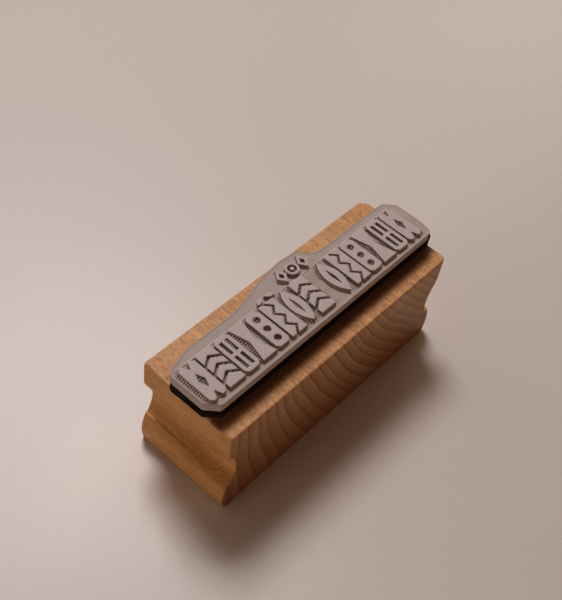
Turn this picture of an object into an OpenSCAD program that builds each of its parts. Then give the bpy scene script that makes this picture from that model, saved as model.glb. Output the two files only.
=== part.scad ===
// Mounted rubber stamp, standing on its index face with the printing face up.
// A moulded beech block carries a foam cushion and an engraved rubber die, both held by adhesive film.
// Millimetres. X runs along the block, Y across it to the back, Z up from the face that it stands on.

/* [Wood mount] */
// Length of the block, over its foot, before the foot_out allowances
mount_l = 80; // [70:1:110]
// Width of the block
mount_w = 28.2; // [26:0.2:40]
// Height of the block, from the index face to the face that carries the cushion
mount_h = 30.5; // [28:0.5:45]
// How far the lip under the cushion stands back from the nominal end of the block
lip_setback = 0.4; // [0.1:0.1:1]
// How far the foot stands out past the nominal end: left, right
foot_out = [0.2, 0.5];
// Radius of the convex shoulder below the lip
shoulder_r = 5; // [4:0.5:6]
// Radius of the concave finger cove
cove_r = 9.75; // [9:0.25:11]
// Depth of the finger cove, from the nominal end of the block
cove_depth = 3.3; // [2.8:0.1:4]
// Height of the foot, up to the ledge at the bottom of the cove
foot_h = 10; // [8:0.5:11]
// Radius of the foot's bulge
foot_bulge_r = 13; // [11:1:60]
// Rounding of the foot's bottom edge and of the lip's top edge
end_edge_r = 0.7; // [0.3:0.1:1]
// Rounding of the four long edges
long_edge_r = 0.4; // [0.2:0.1:0.8]
// Rounding of the lip's upright corners: front left, front right, back right, back left
corner_r = [0.8, 1.8, 3.0, 0.6];
// Rounding of the foot's upright corners, in the same order
foot_corner_r = [0.8, 1.0, 3.0, 0.6];

/* [Cushion and films] */
// Thickness of the foam cushion
foam_t = 3.2; // [2:0.1:6]
// Thickness of each adhesive film
film_t = 0.1; // [0.05:0.05:0.2]
// How far the films stay inside the cut outline
film_inset = 0.4; // [0.2:0.1:1]
// How far the foam's right-hand end stands out past the rubber
foam_proud = 1.1; // [0:0.1:1.4]

/* [Rubber die] */
// Thickness of the die's base sheet
die_base_t = 2.5; // [1:0.1:3]
// Height of the printing relief above the base sheet
relief_h = 0.9; // [0.6:0.1:1.4]
// Left end of the printed band
band_x = -39.1; // [-39.4:0.1:-38.6]
// Front edge of the printed band
band_y = -7; // [-7.4:0.1:-6.6]
// Depth of the printed band, front to back
band_h = 11.1; // [10:0.1:11.4]
// Gap between neighbouring tiles of the band
tile_gap = 0.6; // [0.4:0.05:0.7]
// Bare stretch between the band's left and right groups of tiles
group_gap = 3.5; // [2:0.1:4]
// Width of the cuts inside a tile
cut_w = 0.9; // [0.6:0.1:1]
// Middle of the small ornament behind the band
ornament_at = [2, 7];

/* [Hidden] */
$fn = 96;
over = 1;                                   // how far a cutting shape runs past what it cuts

// heights of the stack
film_z = mount_h;
foam_z = film_z + film_t;
die_film_z = foam_z + foam_t;
die_z = die_film_z + film_t;
relief_z = die_z + die_base_t;

// the moulded end, in distances in from the nominal end of the block
foot_crest = foot_h * 0.42;                 // height at which the foot bulges most
cove_z = foot_h + 5.5;                      // height of the cove's deepest point
cove_in = cove_depth - cove_r;              // the cove's centre, outside the block
shoulder_in = lip_setback + shoulder_r;     // the shoulder's centre, inside the block
shoulder_reach = cove_r + shoulder_r;       // the two arcs touch, so their centres are this far apart
shoulder_z = cove_z + sqrt(pow(shoulder_reach, 2) - pow(shoulder_in - cove_in, 2));
touch_z = cove_z + (shoulder_z - cove_z) * cove_r / shoulder_reach;

// corners of the hand-cut outline that foam and rubber share: X, Y and the rounding there
DIE_CORNERS = [
    [-37.7, -8.7, 1.0], [38.6, -8.3, 1.6], [39.4, -3.8, 6.0], [39.3, 3.9, 2.5],
    [36.4, 6.8, 2.0], [12.2, 6.9, 3.0], [9.9, 7.8, 0.8], [7.4, 10.8, 0.9],
    [1.7, 11.25, 10], [-4.8, 10.6, 8.0], [-13.3, 8.2, 6.0], [-17.8, 7.6, 8.0],
    [-33.3, 7.4, 8.0], [-39.9, 5.6, 1.0], [-40.6, 4.4, 0.8], [-40.5, -5.6, 1.5]
];
arc_steps = 5;

// the band's two groups of tiles, from left to right: kind and width of each
LEFT_TILES = [[0, 5.0], [1, 4.8], [3, 4.6], [4, 4.4], [5, 4.2], [2, 4.9], [6, 4.2], [1, 4.8]];
RIGHT_TILES = [[6, 4.2], [2, 4.9], [5, 4.3], [4, 4.6], [3, 4.7], [0, 4.9]];
function sum_to(v, n) = n <= 0 ? 0 : v[n - 1][1] + sum_to(v, n - 1);
function group_l(v) = sum_to(v, len(v)) + (len(v) - 1) * tile_gap;

// sizes inside the tiles
tile_chamfer = 0.8;
notch = [1.8, 2.0];                         // width and depth of the notches in a tile's ends
lozenge_hole = [1.9, 4.4];
chevron_rise = 1.6;
chevron_pitch = 2.8;
chevron_start = 1.9;
zigzag_swing = 0.8;
zigzag_turns = 6;
pane = [0.9, 3.9];                          // width and height of a window tile's four openings
pane_bar = [0.9, 1.0];                      // the bars between them
waist_depth = 1.4;
dot_r = 0.95;
dot_pitch = 3.3;

function unit(v) = v / norm(v);
function xy(c) = [c[0], c[1]];

// points of the rounding at corner b, between corners a and c
function round_corner(a, b, c) =
    let(to_a = unit(xy(a) - xy(b)), to_c = unit(xy(c) - xy(b)),
        half = acos(to_a * to_c) / 2,
        middle = xy(b) + unit(to_a + to_c) * b[2] / sin(half),
        from = xy(b) + to_a * b[2] / tan(half) - middle,
        to = xy(b) + to_c * b[2] / tan(half) - middle,
        start = atan2(from[1], from[0]),
        turn = (atan2(to[1], to[0]) - start + 540) % 360 - 180)
    [for (i = [0:arc_steps]) middle + b[2] * [cos(start + turn * i / arc_steps), sin(start + turn * i / arc_steps)]];

function rounded(corners) =
    let(n = len(corners))
    [for (i = [0:n - 1]) each round_corner(corners[(i + n - 1) % n], corners[i], corners[(i + 1) % n])];

// one end of the block's moulding, from the middle of the block out to +X, with its foot out past the end
module moulded_end(out) {
    reach = mount_l / 2;
    square([reach - shoulder_in, mount_h]);
    foot(reach + out);
    difference() {
        translate([0, foot_h]) square([reach - lip_setback, touch_z - foot_h]);
        translate([reach - cove_in, cove_z]) circle(r = cove_r);
    }
    intersection() {
        translate([reach - shoulder_in, shoulder_z]) circle(r = shoulder_r);
        translate([0, touch_z]) square([reach, shoulder_z - touch_z]);
    }
    lip();
}

// the bulged foot, with its bottom edge rounded
module foot(reach) {
    intersection() {
        translate([reach - foot_bulge_r, foot_crest]) circle(r = foot_bulge_r, $fn = 240);
        union() {
            translate([0, end_edge_r]) square([reach, foot_h - end_edge_r]);
            square([reach - 2 * end_edge_r, foot_h]);
            translate([reach - 2 * end_edge_r, end_edge_r]) circle(r = end_edge_r);
        }
    }
}

// the upright lip, with its top edge rounded
module lip() {
    reach = mount_l / 2 - lip_setback;
    translate([0, shoulder_z]) square([reach, mount_h - end_edge_r - shoulder_z]);
    translate([0, shoulder_z]) square([reach - end_edge_r, mount_h - shoulder_z]);
    translate([reach - end_edge_r, mount_h - end_edge_r]) circle(r = end_edge_r);
}

// a rectangle's corners for rounded(), from front left anticlockwise, each with its own radius
function rectangle_corners(x0, x1, w, radii) =
    [[x0, -w / 2, radii[0]], [x1, -w / 2, radii[1]], [x1, w / 2, radii[2]], [x0, w / 2, radii[3]]];

module wood_mount() {
    end = mount_l / 2;
    lip_end = end - lip_setback;
    edges = [for (i = [0:3]) long_edge_r];
    color([0.80, 0.60, 0.40])
    intersection() {
        rotate([90, 0, 0])
            linear_extrude(height = mount_w, center = true) {
                moulded_end(foot_out[1]);
                mirror([1, 0]) moulded_end(foot_out[0]);
            }
        union() {
            linear_extrude(height = foot_h)
                polygon(rounded(rectangle_corners(-end - foot_out[0], end + foot_out[1], mount_w, foot_corner_r)));
            translate([0, 0, foot_h]) linear_extrude(height = mount_h - foot_h)
                polygon(rounded(rectangle_corners(-lip_end, lip_end, mount_w, corner_r)));
        }
        translate([0, 0, mount_h / 2]) rotate([90, 0, 90])
            linear_extrude(height = mount_l + 2 * max(foot_out), center = true)
                polygon(rounded(rectangle_corners(-mount_w / 2, mount_w / 2, mount_h, edges)));
    }
}

// the outline that foam and rubber are cut to; right_end moves its right-hand side out, inset draws it in
module cut_outline(right_end = 0, inset = 0) {
    polygon(rounded([for (c = DIE_CORNERS)
        [c[0] + (c[0] > mount_l / 3 ? right_end : 0) - sign(c[0]) * inset, c[1] - sign(c[1]) * inset, c[2]]]));
}

module adhesive_film() {
    color([0.86, 0.80, 0.66])
    linear_extrude(height = film_t) cut_outline(inset = film_inset);
}

module mount_adhesive() {
    translate([0, 0, film_z]) adhesive_film();
}

module foam_cushion() {
    color([0.12, 0.11, 0.10])
    translate([0, 0, foam_z]) linear_extrude(height = foam_t) cut_outline(right_end = foam_proud);
}

module die_adhesive() {
    translate([0, 0, die_film_z]) adhesive_film();
}

// ---- the printed band: a frieze of plain geometric tiles, each drawn from its own front left corner ----

module lozenge(w, h) {
    polygon([[-w / 2, 0], [0, -h / 2], [w / 2, 0], [0, h / 2]]);
}

// a pointed leaf, where two equal circles cross
module leaf(w, h) {
    r = (h * h + w * w) / (4 * w);
    intersection() {
        translate([r - w / 2, 0]) circle(r = r);
        translate([w / 2 - r, 0]) circle(r = r);
    }
}

module chamfered(w, h) {
    c = tile_chamfer;
    polygon([[c, 0], [w - c, 0], [w, c], [w, h - c], [w - c, h], [c, h], [0, h - c], [0, c]]);
}

module lozenge_tile(w, h) {
    difference() {
        chamfered(w, h);
        translate([w / 2, h / 2]) lozenge(lozenge_hole[0], lozenge_hole[1]);
        for (y = [0, h]) translate([w / 2, y]) lozenge(notch[0], 2 * notch[1]);
    }
}

module chevron_tile(w, h) {
    fall = 2 * over * chevron_rise / w;
    difference() {
        square([w, h]);
        for (i = [0:2]) {
            low = chevron_start + i * chevron_pitch - cut_w / 2;
            high = low + cut_w;
            polygon([[-over, low - fall], [w / 2, low + chevron_rise], [w + over, low - fall],
                     [w + over, high - fall], [w / 2, high + chevron_rise], [-over, high - fall]]);
        }
    }
}

module zigzag_tile(w, h) {
    step = h / zigzag_turns;
    function turn(i) = w / 2 + (i % 2 == 0 ? -1 : 1) * zigzag_swing;
    polygon([[0, h], [0, 0], for (i = [0:zigzag_turns]) [turn(i) - cut_w / 2, i * step]]);
    polygon([[w, h], [w, 0], for (i = [0:zigzag_turns]) [turn(i) + cut_w / 2, i * step]]);
}

module window_tile(w, h) {
    difference() {
        chamfered(w, h);
        for (x = [-1, 1], y = [-1, 1])
            translate([w / 2 + x * (pane[0] + pane_bar[0]) / 2, h / 2 + y * (pane[1] + pane_bar[1]) / 2])
                square(pane, center = true);
    }
}

module waisted_tile(w, h) {
    polygon([[0, 0], [w, 0], [w - waist_depth, h / 2], [w, h], [0, h], [waist_depth, h / 2]]);
}

module dotted_tile(w, h) {
    difference() {
        chamfered(w, h);
        for (i = [-1:1]) translate([w / 2, h / 2 + i * dot_pitch]) circle(r = dot_r);
    }
}

module leaf_tile(w, h) {
    difference() {
        translate([w / 2, h / 2]) leaf(w, h);
        translate([w / 2, h / 2]) lozenge(cut_w, h * 0.6);
    }
}

module tile(kind, w, h) {
    if (kind == 0) lozenge_tile(w, h);
    if (kind == 1) chevron_tile(w, h);
    if (kind == 2) zigzag_tile(w, h);
    if (kind == 3) window_tile(w, h);
    if (kind == 4) waisted_tile(w, h);
    if (kind == 5) dotted_tile(w, h);
    if (kind == 6) leaf_tile(w, h);
}

module tile_group(tiles) {
    for (i = [0:len(tiles) - 1])
        translate([sum_to(tiles, i) + i * tile_gap, 0]) tile(tiles[i][0], tiles[i][1], band_h);
}

// two lozenge frames either side of a ringed dot
module ornament() {
    translate(ornament_at) {
        for (side = [-1, 1]) translate([side * 3.7, 0]) difference() {
            lozenge(3.2, 4.4);
            lozenge(1.4, 2.0);
        }
        difference() {
            circle(r = 1.9);
            circle(r = 1.2);
        }
        circle(r = 0.55);
    }
}

// two small leaves behind the band's left group
module leaf_pair() {
    translate([-11.3, 5.2]) rotate(-65) leaf(1.2, 2.6);
    translate([-8.1, 5.2]) rotate(65) leaf(1.2, 2.6);
}

module rubber_die() {
    color([0.66, 0.60, 0.60]) {
        translate([0, 0, die_z]) linear_extrude(height = die_base_t) cut_outline();
        translate([0, 0, relief_z]) linear_extrude(height = relief_h) {
            translate([band_x, band_y]) tile_group(LEFT_TILES);
            translate([band_x + group_l(LEFT_TILES) + group_gap, band_y]) tile_group(RIGHT_TILES);
            ornament();
            leaf_pair();
        }
    }
}

wood_mount();
mount_adhesive();
foam_cushion();
die_adhesive();
rubber_die();
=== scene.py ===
"""Looks of the mounted rubber stamp: a beech block with a foam cushion and an engraved rubber die on it.

Shapes are worked out in millimetres in the CAD frame (X along the block, Y to the back, Z up from the index
face) and become metres in one place, new_piece(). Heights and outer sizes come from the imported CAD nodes.
"""

import math

import bpy
import numpy as np
from mathutils import Matrix, Vector, kdtree, noise
from mathutils.geometry import delaunay_2d_cdt


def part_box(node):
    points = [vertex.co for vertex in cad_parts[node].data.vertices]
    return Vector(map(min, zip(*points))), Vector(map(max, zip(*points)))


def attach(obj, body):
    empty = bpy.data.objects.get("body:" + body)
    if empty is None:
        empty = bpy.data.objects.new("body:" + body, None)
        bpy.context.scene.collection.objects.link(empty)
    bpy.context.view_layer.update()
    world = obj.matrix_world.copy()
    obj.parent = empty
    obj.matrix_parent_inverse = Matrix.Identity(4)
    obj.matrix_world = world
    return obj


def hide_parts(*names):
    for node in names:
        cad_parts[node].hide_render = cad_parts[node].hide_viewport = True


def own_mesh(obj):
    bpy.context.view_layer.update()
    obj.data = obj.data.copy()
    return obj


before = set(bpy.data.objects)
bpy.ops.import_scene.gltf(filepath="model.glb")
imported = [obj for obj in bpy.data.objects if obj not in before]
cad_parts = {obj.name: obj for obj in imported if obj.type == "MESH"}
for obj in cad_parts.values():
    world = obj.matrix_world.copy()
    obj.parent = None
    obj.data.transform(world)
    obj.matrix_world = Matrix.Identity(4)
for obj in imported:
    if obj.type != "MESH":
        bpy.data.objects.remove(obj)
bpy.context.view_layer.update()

MM = 0.001


def node_box(node):
    """Lowest and highest corner of a CAD node, in millimetres."""
    low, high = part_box(node)
    return np.array(low) / MM, np.array(high) / MM


# ---------------------------------------------------------------- sizes, in millimetres

WOOD_LOW, WOOD_HIGH = node_box("wood_mount")
FOAM_LOW, FOAM_HIGH = node_box("foam_cushion")
DIE_LOW, DIE_HIGH = node_box("rubber_die")
WOOD_L, WOOD_W, WOOD_H = WOOD_HIGH - WOOD_LOW

END = 40.0
FOOT_OUT = (0.2, 0.5)
LIP_SETBACK = 0.4
SHOULDER_R = 5.0
COVE_R = 9.75
COVE_DEPTH = 3.3
COVE_RISE = 5.5
FOOT_H = 10.0
FOOT_CREST = 4.2
FOOT_BULGE_R = 13.0
LEDGE_R = 0.55
END_EDGE_R = 0.7
LIP_CORNER_R = {(-1, -1): 0.8, (1, -1): 1.8, (1, 1): 3.0, (-1, 1): 0.6}
FOOT_CORNER_R = {(-1, -1): 0.8, (1, -1): 1.0, (1, 1): 3.0, (-1, 1): 0.6}
FACE_EDGE_R = 0.4

RING_PITCH, MINOR_RING_PITCH = 3.6, 1.75
SHADE_CORNER = (-38.7, -8.4)

RELIEF_H = 0.9
FLOOR_Z = DIE_HIGH[2] - RELIEF_H
FOAM_PROUD = 1.1
DIE_CORNERS = [
    (-37.7, -8.7, 1.0), (38.6, -8.3, 1.6), (39.4, -3.8, 6.0), (39.3, 3.9, 2.5),
    (36.4, 6.8, 2.0), (12.2, 6.9, 3.0), (9.9, 7.8, 0.8), (7.4, 10.8, 0.9),
    (1.7, 11.25, 10.0), (-4.8, 10.6, 8.0), (-13.3, 8.2, 6.0), (-17.8, 7.6, 8.0),
    (-33.3, 7.4, 8.0), (-39.9, 5.6, 1.0), (-40.6, 4.4, 0.8), (-40.5, -5.6, 1.5),
]

BAND_X, BAND_Y, BAND_H = -39.1, -7.0, 11.1
TILE_GAP = 0.6
GROUP_GAP = 3.5
CUT_W = 0.9
ORNAMENT_AT = (2.0, 7.0)
LEAVES = [(-11.3, 5.2, -65), (-8.1, 5.2, 65)]

CAMERA_AT = (-132.4, -85.6, 219.1)
CAMERA_BACK = (-0.52685, -0.36940, 0.76549)
CAMERA_UP = (0.52122, 0.57099, 0.63428)
LENS_MM = 61.1


# ---------------------------------------------------------------- small geometry helpers

def noise_at(points, scale, seed=0.0):
    """Smooth noise, about -1 to 1, at 2-D or 3-D points in millimetres. scale is in cycles per millimetre."""
    points = np.asarray(points, float)
    scale = np.broadcast_to(np.asarray(scale, float), points.shape[1:])
    rows = np.zeros((len(points), 3))
    rows[:, :points.shape[1]] = points * scale
    rows += (seed * 17.3, seed * 5.1, seed * 9.7)
    return np.array([noise.noise(Vector(p)) for p in rows])


def smooth(low, high, value):
    """0 below low, 1 above high, and a smooth step in between."""
    t = np.clip((np.asarray(value, float) - low) / (high - low), 0, 1)
    return t * t * (3 - 2 * t)


def rounded(corners, step):
    """A closed outline through (x, y, radius) corners, rounded, with points about step apart."""
    points = []
    for i, (x, y, r) in enumerate(corners):
        here = np.array((x, y))
        before = np.array(corners[i - 1][:2]) - here
        after = np.array(corners[(i + 1) % len(corners)][:2]) - here
        before, after = before / np.linalg.norm(before), after / np.linalg.norm(after)
        half = math.acos(before @ after) / 2
        towards = before + after
        middle = here + towards / np.linalg.norm(towards) * r / math.sin(half)
        start = here + before * r / math.tan(half) - middle
        end = here + after * r / math.tan(half) - middle
        a0 = math.atan2(start[1], start[0])
        turn = (math.atan2(end[1], end[0]) - a0 + 3 * math.pi) % (2 * math.pi) - math.pi
        count = max(2, math.ceil(abs(turn) * r / step))
        for k in range(count + 1):
            angle = a0 + turn * k / count
            points.append(middle + r * np.array((math.cos(angle), math.sin(angle))))
    return resample(np.array(points), step)


def resample(loop, step):
    """The same closed loop with every edge cut into equal parts no longer than step."""
    out = []
    for a, b in zip(loop, np.roll(loop, -1, axis=0)):
        count = max(1, math.ceil(np.linalg.norm(b - a) / step - 1e-6))
        out += [a + (b - a) * k / count for k in range(count)]
    return np.array(out)


def outward(loop):
    """Unit normals at a closed loop's points, away from the solid that lies on the loop's left."""
    edge = np.roll(loop, -1, axis=0) - loop
    edge = edge / np.maximum(np.linalg.norm(edge, axis=1), 1e-9)[:, None]
    normal = np.column_stack([edge[:, 1], -edge[:, 0]])
    both = normal + np.roll(normal, 1, axis=0)
    length = np.maximum(np.linalg.norm(both, axis=1), 1e-6)
    mitre = np.minimum(2 / length, 1.6)
    return both / length[:, None] * mitre[:, None]


def inside(points, loops):
    """Whether each point lies inside the loops, by the even-odd rule."""
    hit = np.zeros(len(points), bool)
    for loop in loops:
        low, high = loop.min(0), loop.max(0)
        near = np.flatnonzero(((points >= low) & (points <= high)).all(1))
        if not len(near):
            continue
        px, py = points[near, 0][:, None], points[near, 1][:, None]
        ax, ay = loop[:, 0], loop[:, 1]
        bx, by = np.roll(ax, -1), np.roll(ay, -1)
        spans = (ay > py) != (by > py)
        with np.errstate(divide="ignore", invalid="ignore"):
            cross = ax + (py - ay) * (bx - ax) / (by - ay)
        hit[near] ^= (np.sum(spans & (px < cross), axis=1) % 2).astype(bool)
    return hit


class Nearness:
    """Distance from points to a set of closed loops."""

    def __init__(self, loops, step=0.04):
        dense = np.concatenate([resample(loop, step) for loop in loops])
        self.tree = kdtree.KDTree(len(dense))
        for i, (x, y) in enumerate(dense):
            self.tree.insert((x, y, 0), i)
        self.tree.balance()

    def __call__(self, points):
        return np.array([self.tree.find((x, y, 0))[2] for x, y in points])


def new_piece(name, vertices, faces, material, sharp_deg):
    """A mesh piece from vertices in millimetres, smooth shaded apart from edges sharper than sharp_deg."""
    mesh = bpy.data.meshes.new(name)
    mesh.from_pydata([tuple(v) for v in np.asarray(vertices) * MM], [], [tuple(f) for f in faces])
    mesh.validate()
    mesh.shade_smooth()
    mesh.set_sharp_from_angle(angle=math.radians(sharp_deg))
    piece = bpy.data.objects.new(name, mesh)
    bpy.context.scene.collection.objects.link(piece)
    mesh.materials.append(material)
    return piece


def band_faces(first, second):
    """Quads between two closed rings of vertex numbers, the first ring above the second."""
    n = len(first)
    return [(first[i], second[i], second[(i + 1) % n], first[(i + 1) % n]) for i in range(n)]


# ---------------------------------------------------------------- the frieze, as closed loops
# A solid's outline runs anticlockwise and a hole's clockwise, so the solid is always on the left.

def polygon(*points):
    return np.array(points, float)


def circle(x, y, r, step=0.22):
    count = max(16, math.ceil(2 * math.pi * r / step))
    angles = np.arange(count) * 2 * math.pi / count
    return np.column_stack([x + r * np.cos(angles), y + r * np.sin(angles)])


def hole(loop):
    return loop[::-1]


def lozenge(x, y, w, h):
    return polygon((x - w / 2, y), (x, y - h / 2), (x + w / 2, y), (x, y + h / 2))


def leaf(x, y, w, h, turn_deg=0.0, step=0.3):
    """A pointed leaf, where two equal circles cross."""
    r = (h * h + w * w) / (4 * w)
    reach = math.asin(h / 2 / r)
    angles = np.linspace(-reach, reach, max(6, math.ceil(2 * reach * r / step)) + 1)
    right = np.column_stack([r * np.cos(angles) - (r - w / 2), r * np.sin(angles)])
    loop = np.concatenate([right[:-1], -right[:-1]])
    c, s = math.cos(math.radians(turn_deg)), math.sin(math.radians(turn_deg))
    return loop @ np.array([[c, s], [-s, c]]) + (x, y)


def chamfered(w, h, c=0.8):
    return polygon((c, 0), (w - c, 0), (w, c), (w, h - c), (w - c, h), (c, h), (0, h - c), (0, c))


def lozenge_tile(w, h):
    notch_w, notch_d, c = 1.8, 2.0, 0.8
    outer = polygon(
        (c, 0), (w / 2 - notch_w / 2, 0), (w / 2, notch_d), (w / 2 + notch_w / 2, 0), (w - c, 0), (w, c),
        (w, h - c), (w - c, h), (w / 2 + notch_w / 2, h), (w / 2, h - notch_d), (w / 2 - notch_w / 2, h),
        (c, h), (0, h - c), (0, c))
    return [outer, hole(lozenge(w / 2, h / 2, 1.9, 4.4))]


def chevron_tile(w, h):
    start, pitch, rise, count = 1.9, 2.8, 1.6, 3
    loops = []
    for i in range(count + 1):
        low = start + (i - 1) * pitch + CUT_W / 2
        high = start + i * pitch - CUT_W / 2
        under = [(0, low), (w / 2, low + rise), (w, low)] if i else [(0, 0), (w, 0)]
        over = [(w, high), (w / 2, high + rise), (0, high)] if i < count else [(w, h), (0, h)]
        loops.append(polygon(*under, *over))
    return loops


def zigzag_tile(w, h):
    swing, turns = 0.8, 6
    line = [(w / 2 + (-1 if i % 2 == 0 else 1) * swing, h * i / turns) for i in range(turns + 1)]
    left = [(x - CUT_W / 2, y) for x, y in line]
    right = [(x + CUT_W / 2, y) for x, y in line[::-1]]
    return [polygon((0, h), (0, 0), *left), polygon((w, 0), (w, h), *right)]


def window_tile(w, h):
    pane_w, pane_h, bar_x, bar_y = 0.9, 3.9, 0.9, 1.0
    loops = [chamfered(w, h)]
    for sx in (-1, 1):
        for sy in (-1, 1):
            x, y = w / 2 + sx * (pane_w + bar_x) / 2, h / 2 + sy * (pane_h + bar_y) / 2
            loops.append(hole(polygon((x - pane_w / 2, y - pane_h / 2), (x + pane_w / 2, y - pane_h / 2),
                                      (x + pane_w / 2, y + pane_h / 2), (x - pane_w / 2, y + pane_h / 2))))
    return loops


def waisted_tile(w, h):
    depth = 1.4
    return [polygon((0, 0), (w, 0), (w - depth, h / 2), (w, h), (0, h), (depth, h / 2))]


def dotted_tile(w, h):
    pitch, r = 3.3, 0.95
    return [chamfered(w, h)] + [hole(circle(w / 2, h / 2 + i * pitch, r)) for i in (-1, 0, 1)]


def leaf_tile(w, h):
    return [leaf(w / 2, h / 2, w, h), hole(lozenge(w / 2, h / 2, CUT_W, h * 0.6))]


LEFT_TILES = [(lozenge_tile, 5.0), (chevron_tile, 4.8), (window_tile, 4.6), (waisted_tile, 4.4),
              (dotted_tile, 4.2), (zigzag_tile, 4.9), (leaf_tile, 4.2), (chevron_tile, 4.8)]
RIGHT_TILES = [(leaf_tile, 4.2), (zigzag_tile, 4.9), (dotted_tile, 4.3), (waisted_tile, 4.6),
               (window_tile, 4.7), (lozenge_tile, 4.9)]


def group_length(tiles):
    return sum(w for _, w in tiles) + (len(tiles) - 1) * TILE_GAP


BAND_END = BAND_X + group_length(LEFT_TILES) + GROUP_GAP + group_length(RIGHT_TILES)


def frieze_loops():
    """Every outline of the relief: the band's two groups of tiles, the ornament and the two leaves."""
    loops = []
    x = BAND_X
    for tiles in (LEFT_TILES, RIGHT_TILES):
        for make, w in tiles:
            loops += [loop + (x, BAND_Y) for loop in make(w, BAND_H)]
            x += w + TILE_GAP
        x += GROUP_GAP - TILE_GAP
    ox, oy = ORNAMENT_AT
    for side in (-1, 1):
        loops += [lozenge(ox + side * 3.7, oy, 3.2, 4.4), hole(lozenge(ox + side * 3.7, oy, 1.4, 2.0))]
    loops += [circle(ox, oy, 1.9), hole(circle(ox, oy, 1.2)), circle(ox, oy, 0.55)]
    return loops + [leaf(x, y, 1.2, 2.6, turn_deg) for x, y, turn_deg in LEAVES]


# ---------------------------------------------------------------- materials

class Nodes:
    """A short way to write a material's nodes. Sockets and numbers both serve as inputs."""

    def __init__(self, name):
        self.material = bpy.data.materials.new(name)
        self.material.use_nodes = True
        self.tree = self.material.node_tree
        self.shader = self.tree.nodes["Principled BSDF"]
        where = self.tree.nodes.new("ShaderNodeTexCoord")
        self.normal = where.outputs["Normal"]
        self.place = self.scaled(where.outputs["Object"], (1 / MM,) * 3)

    def put(self, socket, value):
        if isinstance(value, bpy.types.NodeSocket):
            self.tree.links.new(value, socket)
        else:
            socket.default_value = value

    def vector(self, operation, a, b, out=0):
        node = self.tree.nodes.new("ShaderNodeVectorMath")
        node.operation = operation
        self.put(node.inputs[0], a)
        self.put(node.inputs[1], b)
        return node.outputs[out]

    def scaled(self, vector, factors):
        return self.vector("MULTIPLY", vector, factors)

    def math(self, operation, a, b=None, clamp=False):
        node = self.tree.nodes.new("ShaderNodeMath")
        node.operation = operation
        node.use_clamp = clamp
        self.put(node.inputs[0], a)
        if b is not None:
            self.put(node.inputs[1], b)
        return node.outputs[0]

    def plus(self, a, b):
        return self.math("ADD", a, b)

    def minus(self, a, b):
        return self.math("SUBTRACT", a, b)

    def times(self, a, b):
        return self.math("MULTIPLY", a, b)

    def split(self, vector):
        node = self.tree.nodes.new("ShaderNodeSeparateXYZ")
        self.put(node.inputs[0], vector)
        return node.outputs

    def turned(self, vector, degrees):
        node = self.tree.nodes.new("ShaderNodeMapping")
        self.put(node.inputs["Vector"], vector)
        node.inputs["Rotation"].default_value = [math.radians(d) for d in degrees]
        return node.outputs[0]

    def noise(self, vector, scale, detail=2.0, roughness=0.5):
        """Noise from 0 to 1, around 0.5. scale is in cycles per millimetre, or a factor for each axis."""
        if isinstance(scale, tuple):
            vector, scale = self.scaled(vector, scale), 1.0
        node = self.tree.nodes.new("ShaderNodeTexNoise")
        self.put(node.inputs["Vector"], vector)
        node.inputs["Scale"].default_value = scale
        node.inputs["Detail"].default_value = detail
        node.inputs["Roughness"].default_value = roughness
        return node.outputs["Fac"]

    def line_noise(self, value, scale, detail=1.0):
        """Noise along one number."""
        node = self.tree.nodes.new("ShaderNodeTexNoise")
        node.noise_dimensions = "1D"
        self.put(node.inputs["W"], value)
        node.inputs["Scale"].default_value = scale
        node.inputs["Detail"].default_value = detail
        return node.outputs["Fac"]

    def range(self, value, low, high, to_low=0.0, to_high=1.0):
        """value, held between low and high, carried over to the span from to_low to to_high."""
        node = self.tree.nodes.new("ShaderNodeMapRange")
        for socket, v in zip(node.inputs, (value, low, high, to_low, to_high)):
            self.put(socket, v)
        return node.outputs[0]

    def curve(self, value, stops):
        """A grey ramp through (position, brightness) stops."""
        node = self.tree.nodes.new("ShaderNodeValToRGB")
        self.put(node.inputs[0], value)
        ramp = node.color_ramp
        while len(ramp.elements) < len(stops):
            ramp.elements.new(0.5)
        for element, (position, v) in zip(ramp.elements, stops):
            element.position = position
            element.color = (v, v, v, 1)
        return node.outputs[0]

    def mix(self, factor, a, b, blend="MIX"):
        node = self.tree.nodes.new("ShaderNodeMix")
        node.data_type = "RGBA"
        node.blend_type = blend
        self.put(node.inputs[0], factor)
        for socket, value in ((node.inputs[6], a), (node.inputs[7], b)):
            self.put(socket, value if isinstance(value, bpy.types.NodeSocket) else (*value, 1.0))
        return node.outputs[2]

    def shaded(self, colour, brightness):
        """colour times a brightness socket around 1."""
        node = self.tree.nodes.new("ShaderNodeVectorMath")
        node.operation = "SCALE"
        self.put(node.inputs[0], colour)
        self.put(node.inputs["Scale"], brightness)
        return node.outputs[0]

    def bump(self, height, depth_mm, strength=1.0):
        node = self.tree.nodes.new("ShaderNodeBump")
        node.inputs["Strength"].default_value = strength
        node.inputs["Distance"].default_value = depth_mm * MM
        self.put(node.inputs["Height"], height)
        return node.outputs[0]

    def finish(self, colour, roughness, normal=None):
        self.put(self.shader.inputs["Base Color"], colour)
        self.put(self.shader.inputs["Roughness"], roughness)
        if normal is not None:
            self.put(self.shader.inputs["Normal"], normal)
        return self.material


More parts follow.
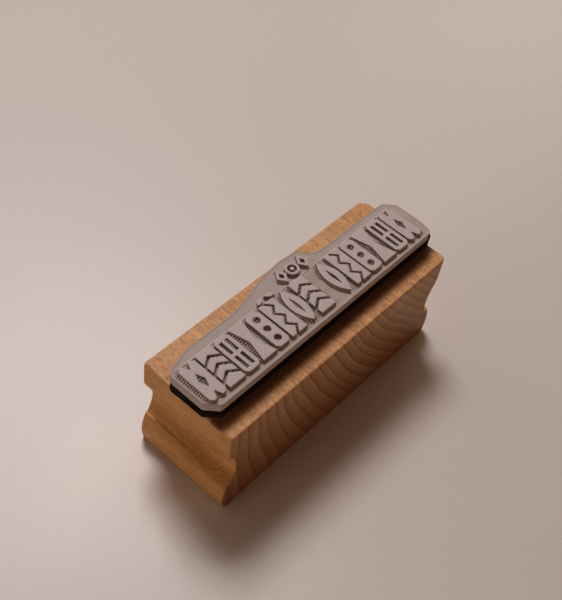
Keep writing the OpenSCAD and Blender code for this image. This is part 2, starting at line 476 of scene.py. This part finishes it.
def growth_rings(n):
    """Late wood of the main and the minor rings, and each main ring's own tone, all from 0 to 1.

    The rings run with the fibres along Y and lean over more and more towards the +X end.
    """
    px, py, pz = n.split(n.place)[0:3]
    ahead = n.plus(px, 36.0)
    lean = n.plus(n.times(ahead, 0.0185), 0.10)
    lean = n.minus(lean, n.times(n.times(ahead, ahead), 0.00006))
    across = n.plus(px, n.times(n.minus(pz, 15.0), lean))
    wander = n.noise(n.place, (0.05, 0.020, 0.05), detail=1.5)
    across = n.plus(across, n.times(wander, 3.5))
    across = n.plus(across, n.times(py, 0.05))
    uneven = n.times(n.line_noise(across, 0.10, detail=2.0), 1.2)

    ring = n.plus(n.math("DIVIDE", across, RING_PITCH), uneven)
    late = n.curve(n.math("FRACT", ring), [
        (0.0, 1.0), (0.04, 1.0), (0.11, 0.52), (0.30, 0.38),
        (0.60, 0.20), (0.90, 0.0), (0.97, 0.10), (1.0, 0.95)])
    minor = n.plus(n.math("DIVIDE", across, MINOR_RING_PITCH), n.times(uneven, 1.3))
    minor = n.curve(n.math("FRACT", minor), [(0.0, 0.1), (0.5, 0.0), (0.86, 0.5), (0.93, 0.6), (1.0, 0.2)])
    own_tone = n.line_noise(n.math("FLOOR", ring), 0.73, detail=0.0)
    return late, minor, own_tone


def painted_shade(n):
    """Share of the die's shade that is painted into the wood's top face. It isn't a mark on the wood.

    The lamps alone leave the wood too light in a strip in front of the cushion and at its near left corner.
    """
    py, pz = n.split(n.place)[1:3]
    strip = n.times(n.range(py, -11.9, -9.6), n.range(py, -8.0, -7.0, 1.0, 0.0))
    from_corner = n.vector("DISTANCE", n.place, (*SHADE_CORNER, WOOD_H), out=1)
    shade = n.math("MAXIMUM", strip, n.range(from_corner, 0.9, 2.4, 1.0, 0.0))
    return n.times(shade, n.range(pz, WOOD_H - 0.8, WOOD_H - 0.3))


def ledge_patch(n, speckle):
    """Share of the blotchy brown patch above the ledge, which fades towards the back."""
    py, pz = n.split(n.place)[1:3]
    from_ledge = n.math("ABSOLUTE", n.minus(pz, FOOT_H + 0.9))
    blotch = n.noise(n.place, (0.5, 0.22, 0.5), detail=3.0, roughness=0.65)
    patch = n.range(n.plus(from_ledge, n.times(blotch, 4.0)), 2.9, 5.8, 0.95, 0.0)
    patch = n.times(patch, n.range(py, -2.0, 9.0, 1.0, 0.35))
    return n.times(patch, n.range(speckle, 0.42, 0.58, 0.40, 1.0))


def beech():
    """Beech: growth rings, striations along the fibres, pores, small flecks and a patch above the ledge.

    The front and back faces show end grain. The faces of the moulded ends are side grain with less contrast.
    Some shade is painted in as well: on the top face, and down the front and back faces, which are also
    painted lighter near the top.
    """
    n = Nodes("beech")
    px, py, pz = n.split(n.place)[0:3]
    facing = n.split(n.normal)
    end_grain = n.range(n.math("ABSOLUTE", facing[1]), 0.55, 0.85)
    side_grain = n.minus(1.0, end_grain)
    moulded = n.range(n.math("ABSOLUTE", facing[0]), 0.35, 0.75)

    late, minor, own_tone = growth_rings(n)
    fibres = n.noise(n.place, (1.25, 0.11, 1.25), detail=3.0, roughness=0.66)
    fine = n.noise(n.place, (3.8, 0.60, 3.8), detail=2.0, roughness=0.65)
    fleck = n.range(n.noise(n.place, (2.3, 0.75, 2.3), detail=1.0), 0.61, 0.72)
    light_fleck = n.range(n.noise(n.place, (1.6, 0.55, 1.6), detail=1.0), 0.56, 0.70)
    speckle = n.noise(n.place, 2.4, detail=3.0, roughness=0.7)
    patches = n.noise(n.place, (0.10, 0.045, 0.10), detail=2.0)
    rays = n.noise(n.turned(n.place, (0, 12, 0)), (0.45, 0.9, 3.3), detail=2.0, roughness=0.6)

    # the wood's own colour, with the end grain tinted yellower on the front towards the +X end
    colour = n.mix(patches, (0.735, 0.448, 0.232), (0.640, 0.358, 0.170))
    colour = n.mix(n.times(light_fleck, 0.40), colour, (0.88, 0.60, 0.34))
    end_colour = n.mix(n.range(own_tone, 0.35, 0.65), (0.455, 0.262, 0.122), (0.390, 0.258, 0.146))
    golden = n.times(n.range(px, 10.0, 38.0), n.range(py, -12.0, 4.0, 1.0, 0.0))
    golden = n.mix(golden, (1.0, 1.0, 1.0), (1.0, 0.97, 0.35))
    end_colour = n.mix(1.0, end_colour, golden, blend="MULTIPLY")
    colour = n.mix(n.times(end_grain, n.range(px, 10.0, 38.0, 0.65, 0.85)), colour, end_colour)
    colour = n.mix(n.times(moulded, 0.60), colour, (0.69, 0.372, 0.135))

    # the rings, drawn strongest on the end grain
    late = n.times(late, n.range(end_grain, 0.0, 1.0, 0.22, 0.80))
    minor = n.times(minor, n.range(end_grain, 0.0, 1.0, 0.14, 0.16))
    ring_colour = n.mix(end_grain, (0.36, 0.155, 0.048), (0.21, 0.078, 0.022))
    colour = n.mix(n.math("ADD", late, minor, clamp=True), colour, ring_colour)

    # light and dark along the fibres and across the end grain, with painted shade and light that darken it
    # towards the foot and lighten it near the top; dark wood is warmer than light wood
    along = n.plus(n.range(fibres, 0.28, 0.72, 0.82, 1.17), n.range(fine, 0.25, 0.75, -0.31, 0.29))
    along = n.plus(along, n.range(speckle, 0.28, 0.72, -0.07, 0.07))
    contrast = n.range(moulded, 0.0, 1.0, 1.0, 0.55)
    along = n.plus(1.0, n.times(n.minus(along, 1.0), contrast))
    cross = n.plus(n.range(speckle, 0.28, 0.72, 0.84, 1.13), n.range(rays, 0.3, 0.7, -0.17, 0.15))
    tone = n.plus(n.times(along, side_grain), n.times(cross, end_grain))
    tone = n.times(tone, n.range(own_tone, 0.3, 0.7, 0.92, 1.07))
    painted_low = n.range(n.plus(pz, n.times(patches, 6.0)), 2.0, 30.0, 0.50, 1.14)
    tone = n.times(tone, n.plus(side_grain, n.times(end_grain, painted_low)))
    warmth = n.mix(n.range(tone, 0.45, 1.35), (0.60, 0.395, 0.26), (1.30, 1.37, 1.42))
    colour = n.mix(1.0, colour, warmth, blend="MULTIPLY")

    # flecks, painted shade and the patch, over everything else
    colour = n.mix(n.times(fleck, n.range(end_grain, 0.0, 1.0, 0.55, 0.15)), colour, (0.46, 0.135, 0.022))
    colour = n.mix(n.times(painted_shade(n), 0.70), colour, (0.10, 0.035, 0.012))
    colour = n.mix(n.times(ledge_patch(n, speckle), moulded), colour, (0.36, 0.125, 0.006))

    roughness = n.minus(n.range(fibres, 0.3, 0.7, 0.40, 0.52), n.times(end_grain, 0.06))
    height = n.minus(n.plus(fine, n.times(fibres, 0.8)), n.times(fleck, 0.7))
    n.put(n.shader.inputs["Specular IOR Level"], n.range(end_grain, 0.0, 1.0, 0.24, 0.38))
    return n.finish(colour, roughness, n.bump(height, 0.04, 0.7))


def grey_rubber():
    """Engraved stamp rubber: smooth printing tops, painted shade on the walls and a slightly warmer, rougher
    floor.
    """
    n = Nodes("grey_rubber")
    px, py, height = n.split(n.place)[0:3]
    above_floor = n.minus(height, FLOOR_Z)
    top = n.range(height, FLOOR_Z + 0.70, FLOOR_Z + 0.85)
    cloudy = n.noise(n.place, 0.18, detail=3.0, roughness=0.6)
    grain = n.noise(n.place, 4.5, detail=3.0, roughness=0.65)
    scan = n.noise(n.place, (0.35, 5.0, 5.0), detail=1.0)
    floor_colour = n.mix(cloudy, (0.585, 0.497, 0.474), (0.49, 0.417, 0.396))
    top_colour = n.mix(cloudy, (0.60, 0.515, 0.505), (0.55, 0.465, 0.453))
    colour = n.mix(top, floor_colour, top_colour)

    # a painted highlight: a paler colour on the low ridge along the band's back edge
    wobble = n.range(n.line_noise(px, 0.25), 0.0, 1.0, -0.10, 0.10)
    from_ridge = n.math("ABSOLUTE", n.minus(n.plus(py, wobble), BAND_Y + BAND_H + 0.55))
    ridge = n.times(n.range(from_ridge, 0.08, 0.28, 1.0, 0.0), n.range(above_floor, 0.02, 0.10, 1.0, 0.0))
    ridge = n.times(ridge, n.range(n.math("ABSOLUTE", px), BAND_END, BAND_END + 0.6, 1.0, 0.0))
    colour = n.mix(n.times(ridge, 0.45), colour, (0.78, 0.71, 0.69))

    # a browner, darker colour on the relief's walls: painted shade; a browner colour on the relief's
    # walls; whether real walls are browner or only in shade is a guess
    wall_shade = n.range(n.split(n.normal)[2], 0.35, 0.70, 1.0, 0.0)
    wall_shade = n.times(wall_shade, n.range(above_floor, 0.74, 0.86, 1.0, 0.0))
    wall_shade = n.times(wall_shade, n.range(above_floor, 0.0, 0.10))
    colour = n.mix(n.times(wall_shade, 0.62), colour, (0.26, 0.19, 0.155))

    tone = n.plus(n.range(grain, 0.25, 0.75, 0.93, 1.06), n.range(scan, 0.3, 0.7, -0.03, 0.03))
    roughness = n.range(top, 0.0, 1.0, 0.82, 0.58)
    bumps = n.plus(grain, n.times(scan, 0.7))
    return n.finish(n.shaded(colour, tone), roughness, n.bump(bumps, 0.03, 0.7))


def black_foam():
    """Cushion foam, with its cells cut open at the edge. The kind of foam is a guess."""
    n = Nodes("black_foam")
    cells = n.tree.nodes.new("ShaderNodeTexVoronoi")
    n.put(cells.inputs["Vector"], n.place)
    cells.inputs["Scale"].default_value = 2.8
    from_cell = cells.outputs["Distance"]
    fine = n.noise(n.place, 6.0, detail=2.0)
    colour = n.mix(n.range(from_cell, 0.1, 0.6), (0.006, 0.0030, 0.0018), (0.018, 0.0095, 0.0062))
    colour = n.shaded(colour, n.range(fine, 0.2, 0.8, 0.8, 1.25))
    roughness = n.range(fine, 0.2, 0.8, 0.75, 0.95)
    n.put(n.shader.inputs["Specular IOR Level"], 0.22)
    return n.finish(colour, roughness, n.bump(from_cell, 0.12, 0.9))


def adhesive_film():
    """A thin double-sided film, painted dark brown to pass for the shade where a strip of it shows."""
    n = Nodes("adhesive_film")
    cloudy = n.noise(n.place, 0.4, detail=2.0)
    grain = n.noise(n.place, 3.0, detail=1.0)
    colour = n.mix(cloudy, (0.150, 0.068, 0.032), (0.105, 0.046, 0.022))
    return n.finish(colour, n.range(grain, 0.3, 0.7, 0.35, 0.5), n.bump(grain, 0.02, 0.5))


def tabletop():
    """The pale satin surface under the stamp."""
    n = Nodes("tabletop")
    cloudy = n.noise(n.place, 0.012, detail=3.0)
    grain = n.noise(n.place, 0.9, detail=2.0)
    colour = n.mix(cloudy, (0.765, 0.705, 0.678), (0.715, 0.658, 0.635))
    colour = n.shaded(colour, n.range(grain, 0.3, 0.7, 0.985, 1.015))
    return n.finish(colour, n.range(cloudy, 0.0, 1.0, 0.36, 0.42))


# ---------------------------------------------------------------- the wood mount

def moulded_end(foot_out, step=0.35):
    """One end of the block's outline, as (distance out from the middle, Z) points from the bottom up."""
    cove_z = FOOT_H + COVE_RISE
    cove_in = COVE_DEPTH - COVE_R
    shoulder_in = LIP_SETBACK + SHOULDER_R
    apart = COVE_R + SHOULDER_R
    shoulder_z = cove_z + math.sqrt(apart ** 2 - (shoulder_in - cove_in) ** 2)
    touch_z = cove_z + (shoulder_z - cove_z) * COVE_R / apart

    bulge_in = END + foot_out - FOOT_BULGE_R
    ledge_z = FOOT_H - LEDGE_R
    ledge_from = math.asin((ledge_z - FOOT_CREST) / (FOOT_BULGE_R - LEDGE_R))
    ledge_x = bulge_in + (FOOT_BULGE_R - LEDGE_R) * math.cos(ledge_from)

    def bulge(z):
        return bulge_in + math.sqrt(FOOT_BULGE_R ** 2 - (z - FOOT_CREST) ** 2)

    def cove(z):
        return END - cove_in - math.sqrt(COVE_R ** 2 - (z - cove_z) ** 2)

    def shoulder(z):
        return END - shoulder_in + math.sqrt(SHOULDER_R ** 2 - (z - shoulder_z) ** 2)

    def arc(x, z, r, start, end):
        count = 6
        angles = [math.radians(start + (end - start) * k / count) for k in range(count + 1)]
        return [(x + r * math.cos(a), z + r * math.sin(a)) for a in angles]

    def stretch(edge, low, high):
        count = max(2, math.ceil((high - low) / step))
        return [(edge(z), z) for z in np.linspace(low, high, count + 1)]

    lip = END - LIP_SETBACK
    side = arc(bulge(END_EDGE_R) - END_EDGE_R, END_EDGE_R, END_EDGE_R, -90, 0)
    side += stretch(bulge, END_EDGE_R + step, FOOT_CREST + (FOOT_BULGE_R - 0.1) * math.sin(ledge_from))
    side += arc(ledge_x, ledge_z, LEDGE_R, math.degrees(ledge_from), 90)
    side += stretch(cove, FOOT_H + 0.02, touch_z)
    side += stretch(shoulder, touch_z + step / 2, shoulder_z)
    side += [(lip, z) for z in np.arange(shoulder_z + 2 * step, WOOD_H - END_EDGE_R - step, 3 * step)]
    side += arc(lip - END_EDGE_R, WOOD_H - END_EDGE_R, END_EDGE_R, 0, 90)
    return np.array(side)


def moulded_profile():
    """The block's closed outline in X and Z, anticlockwise: flat faces between the two moulded ends."""
    left, right = (moulded_end(out) for out in FOOT_OUT)
    shares = np.linspace(0, 1, 60)[1:-1]
    top_x = right[-1, 0] - shares * (right[-1, 0] + left[-1, 0])
    under_x = -left[0, 0] + shares * (right[0, 0] + left[0, 0])
    top = np.column_stack([top_x, np.full(len(shares), WOOD_H)])
    under = np.column_stack([under_x, np.zeros(len(shares))])
    return np.concatenate([right, top, left[::-1] * (-1, 1), under])


def wood_slices():
    """(Y, inset of the outline) for every slice from front to back, close together at the rounded edges."""
    half = WOOD_W / 2
    turns = np.radians(np.linspace(90, 0, 5))
    near = [(FACE_EDGE_R * (1 - math.sin(turn)), FACE_EDGE_R * (1 - math.cos(turn))) for turn in turns]
    near += [(depth, 0.0) for depth in np.geomspace(FACE_EDGE_R + 0.25, 4.0, 10)]
    middle = [(y, 0.0) for y in np.linspace(-half + 4.8, half - 4.8, 24)]
    return [(-half + d, i) for d, i in near] + middle + [(half - d, i) for d, i in near[::-1]]


def corner_pull(x, z, y):
    """How far the upright corners' rounding draws points in along X. The cove's edge is only eased."""
    pull = np.zeros(len(x))
    in_foot = z < FOOT_H
    in_cove = smooth(FOOT_H, FOOT_H + 2, z) * (1 - smooth(FOOT_H + 10, FOOT_H + 14, z))
    at_end = smooth(END - 12, END - 6, np.abs(x))
    for radii, here in ((FOOT_CORNER_R, in_foot), (LIP_CORNER_R, ~in_foot)):
        for (sx, sy), r in radii.items():
            t = np.clip(r - (WOOD_W / 2 - sy * y), 0, r)
            drawn = (r - math.sqrt(r * r - t * t)) * (1 - 0.6 * in_cove)
            pull += np.where(here & (x * sx > 0), sx * drawn * at_end, 0)
    return pull


def wood_block(material):
    """The block: the moulded outline in slices along Y, closed by a triangulated face at front and back."""
    profile = moulded_profile()
    normals = outward(profile)
    rings, vertices, faces = [], [], []
    for y, inset in wood_slices():
        wear = 0.25 * noise_at(np.column_stack([profile, np.full(len(profile), y)]), 0.2)
        ring = profile - normals * (inset * (1 + wear))[:, None]
        ring[:, 0] -= corner_pull(ring[:, 0], ring[:, 1], y)
        rings.append(list(range(len(vertices), len(vertices) + len(ring))))
        vertices += [(x, y, z) for x, z in ring]
    for a, b in zip(rings, rings[1:]):
        faces += band_faces(a, b)

    vertices = np.array(vertices)
    for ring, towards in ((rings[0], -1), (rings[-1], 1)):
        rim = vertices[ring][:, (0, 2)]
        cap_vertices, cap_faces = filled(rim, 1.6, margin=0.5)
        extra = cap_vertices[len(rim):]
        ids = ring + list(range(len(vertices), len(vertices) + len(extra)))
        level = np.full(len(extra), vertices[ring[0], 1])
        vertices = np.concatenate([vertices, np.column_stack([extra[:, 0], level, extra[:, 1]])])
        for a, b, c in cap_faces:
            faces.append((ids[a], ids[b], ids[c]) if towards < 0 else (ids[a], ids[c], ids[b]))
    return new_piece("wood_block", vertices, faces, material, 55)


def filled(rim, step, margin):
    """Triangles inside a closed rim, with a grid of points in it. The rim's own points come first."""
    low, high = rim.min(0), rim.max(0)
    xs, ys = np.arange(low[0], high[0], step), np.arange(low[1], high[1], step)
    grid = np.array([(x + (step / 2 if j % 2 else 0), y) for j, y in enumerate(ys) for x in xs])
    grid = grid[inside(grid, [rim])]
    ring = rim - outward(rim) * margin / 2
    near = Nearness([rim], 0.1)
    grid = grid[near(grid) > margin]
    ring = ring[near(ring) > margin * 0.4]
    points = np.concatenate([rim, ring, grid])
    return triangulated(points, [np.arange(len(rim))])


def triangulated(points, loops):
    """Delaunay triangles of 2-D points inside the loops' outermost edge. Keeps the order of the points."""
    edges = [(int(a), int(b)) for loop in loops for a, b in zip(loop, np.roll(loop, -1))]
    made = delaunay_2d_cdt([Vector(p) for p in points], edges, [], 1, 1e-5)
    out_points, out_faces, sources = made[0], made[2], made[3]
    number, extra = {}, []
    for i, source in enumerate(sources):
        number[i] = source[0] if source else len(points) + len(extra)
        if not source:
            extra.append(out_points[i])
    if extra:
        points = np.concatenate([points, np.array([tuple(p) for p in extra])])
    return points, [tuple(number[i] for i in face) for face in out_faces]


# ---------------------------------------------------------------- the rubber die

RASTER_PITCH = 0.66
ROW_PITCH = RASTER_PITCH / 4
RIM_Z = FLOOR_Z - 0.10
# (share of the way down, how far the cut side has left the rim for its own line) for each ring of the side
SIDE_RINGS = ((0.03, 0.25), (0.14, 0.55), (0.32, 0.75), (0.50, 0.85), (0.68, 0.92), (0.86, 0.97), (1.0, 1.0))


def floor_height(points, to_relief, to_outline):
    """Height of the engraved floor: fine lines along X, combs left standing between the marks, a low step
    round the band, a low ridge behind it, which grey_rubber gives a painted highlight, and a worn outer rim."""
    x, y = points[:, 0], points[:, 1]
    in_band = (smooth(-0.75, -0.45, x - BAND_X) * smooth(-0.75, -0.45, BAND_END - x)
               * smooth(-0.65, -0.35, y - BAND_Y) * smooth(-0.65, -0.35, BAND_Y + BAND_H - y))
    patchy = smooth(-0.30, 0.30, noise_at(points, (0.16, 0.22), 3))
    lines = np.cos(2 * math.pi * y / RASTER_PITCH + 1.5 * noise_at(points, (0.12, 0.12), 7))
    ripple = 0.02 + 0.11 * patchy * in_band
    ripple *= smooth(0.10, 0.35, to_outline)
    z = FLOOR_Z - 0.17 - 0.03 * in_band + ripple * lines
    z += 0.035 * noise_at(points, (0.9, 0.9), 5) + 0.04 * noise_at(points, (0.22, 0.35), 8)
    comb = smooth(-0.85, -0.05, np.cos(2 * math.pi * y / RASTER_PITCH))
    comb *= smooth(-0.30, -0.05, noise_at(points, (0.25, 0.12), 12))
    comb *= smooth(0.05, 0.45, y - BAND_Y) * smooth(0.05, 0.45, BAND_Y + BAND_H - y)
    z += 0.06 * (1 - smooth(0.0, 0.25, to_relief)) + comb * (0.66 - 0.54 * smooth(0.20, 0.95, to_relief))
    step = np.abs(y - (BAND_Y + BAND_H + 0.50) - 0.06 * noise_at(points, (0.5, 0.0), 11))
    ridge = (1 - smooth(0.05, 0.30, step)) * smooth(-1, -0.4, x - BAND_X) * smooth(-1, -0.4, BAND_END - x)
    z += (FLOOR_Z - z) * 0.95 * ridge
    z += (FLOOR_Z - 0.02 - z) * (1 - smooth(0.15, 0.55, to_outline))
    return np.where(to_relief < 0.95, np.minimum(z, FLOOR_Z + 0.55), np.minimum(z, FLOOR_Z))


def rubber_print(material):
    """The die as one closed mesh: the engraved top in one triangulation, then the cut side in rings."""
    wall_run, edge_r, step = 0.12, 0.06, 0.35
    outline = rounded(DIE_CORNERS, step)
    outline_n = outward(outline)
    along = np.arange(len(outline)) * step
    cut = 0.07 * noise_at(np.column_stack([along, along * 0]), 0.12, 2)
    cut += 0.03 * noise_at(np.column_stack([along, along * 0]), 0.7, 4)
    left_end = 1 - smooth(-38.6, -35.6, outline[:, 0])
    rim_in = 0.06 + cut + 0.10 * left_end
    rim = outline - outline_n * rim_in[:, None]
    loops = [resample(loop, ROW_PITCH) for loop in frieze_loops()]

    to_relief, to_rim = Nearness(loops), Nearness([rim], 0.1)
    feet = np.concatenate([loop + outward(loop) * wall_run for loop in loops])
    shoulders = np.concatenate([loop - outward(loop) * edge_r for loop in loops])
    feet = feet[(to_relief(feet) > wall_run * 0.85) & ~inside(feet, loops)]
    shoulders = shoulders[(to_relief(shoulders) > edge_r * 0.8) & inside(shoulders, loops)]
    brink = rim - outward(rim) * 0.14
    grid_step = 0.30
    xs = np.arange(DIE_LOW[0], DIE_HIGH[0], grid_step)
    ys = np.arange(math.floor(DIE_LOW[1] / ROW_PITCH) * ROW_PITCH, DIE_HIGH[1], ROW_PITCH)
    grid = np.array([(x + (grid_step / 2 if j % 2 else 0), y) for j, y in enumerate(ys) for x in xs])
    grid = grid[inside(grid, [rim])]
    grid = grid[to_rim(grid) > 0.2]
    gap = to_relief(grid)
    on_top = inside(grid, loops)
    low = grid[~on_top & (gap > wall_run + 0.08)]
    tops = grid[on_top & (gap > edge_r + 0.12)][::5]

    parts = [rim, *loops, shoulders, tops, feet, brink, low]
    starts = np.cumsum([0] + [len(p) for p in parts])
    points = np.concatenate(parts)
    n_loops = starts[len(loops) + 1]
    n_tops = starts[len(loops) + 3]
    rings = [np.arange(starts[i], starts[i + 1]) for i in range(len(loops) + 1)]
    points, faces = triangulated(points, rings)

    z = np.zeros(len(points))
    z[:len(rim)] = RIM_Z
    z[len(rim):n_loops] = DIE_HIGH[2] - edge_r * 0.7
    z[n_loops:n_tops] = DIE_HIGH[2] - 0.012 + 0.012 * noise_at(points[n_loops:n_tops], 0.3, 6)
    floor_points = points[n_tops:]
    z[n_tops:] = floor_height(floor_points, to_relief(floor_points), to_rim(floor_points))
    z = np.minimum(z, DIE_HIGH[2])
    vertices = np.column_stack([points, z])

    # the cut side, in rings down to the underside
    bottom = DIE_LOW[2]
    ring_above = list(range(len(rim)))
    for share, lean in SIDE_RINGS:
        level = RIM_Z * (1 - share) + bottom * share
        sway = 0.05 * noise_at(np.column_stack([along, along * 0 + level]), (0.9, 1.3), 9)
        inset = rim_in * (1 - lean) + (0.05 + 0.05 * share) * lean + sway
        side = outline - outline_n * np.maximum(inset, 0.01)[:, None]
        ring = list(range(len(vertices), len(vertices) + len(side)))
        vertices = np.concatenate([vertices, np.column_stack([side, np.full(len(side), level)])])
        faces += band_faces(ring_above, ring)
        ring_above = ring
    faces.append(tuple(ring_above[::-1]))
    return new_piece("rubber_print", vertices, faces, material, 38)


# ---------------------------------------------------------------- the foam cushion

def foam_pad(material):
    """The foam in rings from its upper face down: hollow half way up, with open cells along its cut edge."""
    step = 0.3
    corners = [(x + (FOAM_PROUD if x > WOOD_L / 3 else 0), y, r) for x, y, r in DIE_CORNERS]
    outline = rounded(corners, step)
    away = outward(outline)
    along = np.arange(len(outline)) * step

    # how far the pad is cut inside the die's outline: a little all round, most at the near left corner
    x, y = outline.T
    set_back = 0.10 + 0.15 * (1 - smooth(-39.0, -37.0, x)) - 0.10 * smooth(38.0, 40.0, x)
    set_back += 0.22 * (1 - smooth(-8.6, -8.0, y))
    set_back += 1.15 * (1 - smooth(-38.2, -35.5, x)) * (1 - smooth(-7.0, 3.5, y))
    set_back += 0.70 * (1 - smooth(-38.0, -36.0, x)) * (1 - smooth(-7.5, -3.5, y))

    vertices, faces, above = [], [], None
    for level in np.linspace(FOAM_HIGH[2], FOAM_LOW[2], 13):
        place = np.column_stack([along, np.full(len(along), level), along * 0])
        share = (level - FOAM_LOW[2]) / (FOAM_HIGH[2] - FOAM_LOW[2])
        hollow = 0.10 * math.sin(math.pi * share)
        slow_wave = 0.06 * noise_at(place, (0.15, 0.3, 1), 1)
        cells = 0.07 * noise_at(place, (1.7, 1.7, 1), 2)
        cells += 0.09 * smooth(0.1, 0.4, noise_at(place, (2.6, 2.6, 1), 3))
        inset = set_back + hollow + slow_wave + cells
        ring = list(range(len(vertices), len(vertices) + len(outline)))
        edge = outline - away * np.maximum(inset, 0.0)[:, None]
        vertices += [(x, y, level) for x, y in edge]
        if above is None:
            faces.append(tuple(ring))
        else:
            faces += band_faces(above, ring)
        above = ring
    faces.append(tuple(above[::-1]))
    return new_piece("foam_pad", vertices, faces, material, 70)


# ---------------------------------------------------------------- the whole stamp

block = wood_block(beech())
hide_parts("wood_mount")
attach(block, "mount")

pad = foam_pad(black_foam())
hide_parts("foam_cushion")
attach(pad, "mount")

die = rubber_print(grey_rubber())
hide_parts("rubber_die")
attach(die, "die")

film = adhesive_film()
for name in ("mount_adhesive", "die_adhesive"):
    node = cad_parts[name]
    node.data.materials.clear()
    node.data.materials.append(film)

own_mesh(pad)


# ---------------------------------------------------------------- floor, light and camera

def floor(material):
    size = 3.0
    mesh = bpy.data.meshes.new("tabletop")
    corners = [(-size, -size, 0), (size, -size, 0), (size, size, 0), (-size, size, 0)]
    mesh.from_pydata(corners, [], [(0, 1, 2, 3)])
    mesh.materials.append(material)
    piece = bpy.data.objects.new("tabletop", mesh)
    bpy.context.scene.collection.objects.link(piece)


def area_light(name, towards, distance, size, watts, colour):
    """A square lamp that shines on the stamp from the direction towards."""
    lamp = bpy.data.lights.new(name, "AREA")
    lamp.size, lamp.energy, lamp.color = size, watts, colour
    piece = bpy.data.objects.new(name, lamp)
    bpy.context.scene.collection.objects.link(piece)
    direction = Vector(towards).normalized()
    piece.location = direction * distance
    piece.rotation_mode = "QUATERNION"
    piece.rotation_quaternion = direction.to_track_quat("Z", "Y")


def surroundings(colour, strength):
    world = bpy.data.worlds.new("surroundings")
    world.use_nodes = True
    background = world.node_tree.nodes["Background"]
    background.inputs["Color"].default_value = (*colour, 1)
    background.inputs["Strength"].default_value = strength
    bpy.context.scene.world = world


def camera():
    """A camera above the stamp's front left, looking down and rolled a little."""
    data = bpy.data.cameras.new("camera")
    data.lens = LENS_MM
    data.clip_start, data.clip_end = 0.01, 20
    piece = bpy.data.objects.new("camera", data)
    bpy.context.scene.collection.objects.link(piece)
    back, up = Vector(CAMERA_BACK), Vector(CAMERA_UP)
    right = up.cross(back).normalized()
    up = back.cross(right)
    turn = Matrix((right, up, back)).transposed()
    piece.matrix_world = Matrix.Translation(Vector(CAMERA_AT) * MM) @ turn.to_4x4()
    bpy.context.scene.camera = piece


floor(tabletop())
area_light("key", (0.30, 0.525, 1.0), 1.2, 0.38, 7.0, (1.0, 0.985, 0.99))
area_light("back", (-0.35, 1.0, 0.5), 1.3, 0.9, 1.1, (0.72, 0.87, 1.0))
area_light("right", (1.0, 0.3, 0.5), 1.3, 0.6, 1.3, (1.0, 0.95, 0.74))
area_light("left", (-1.0, 0.45, 0.5), 1.3, 0.7, 0.45, (1.0, 0.84, 0.60))
area_light("left_low", (-1.0, 0.25, 0.18), 1.3, 0.5, 2.1, (1.0, 0.97, 0.80))
area_light("front", (0.1, -1.0, 0.7), 1.3, 0.8, 0.35, (1.0, 0.74, 0.52))
area_light("front_low", (0.0, -1.0, 0.25), 1.3, 0.6, 1.3, (1.0, 0.68, 0.44))
surroundings((0.098, 0.056, 0.036), 1.0)
camera()
view = bpy.context.scene.view_settings
view.view_transform = "Standard"
view.exposure = 0.18
view.gamma = 0.833
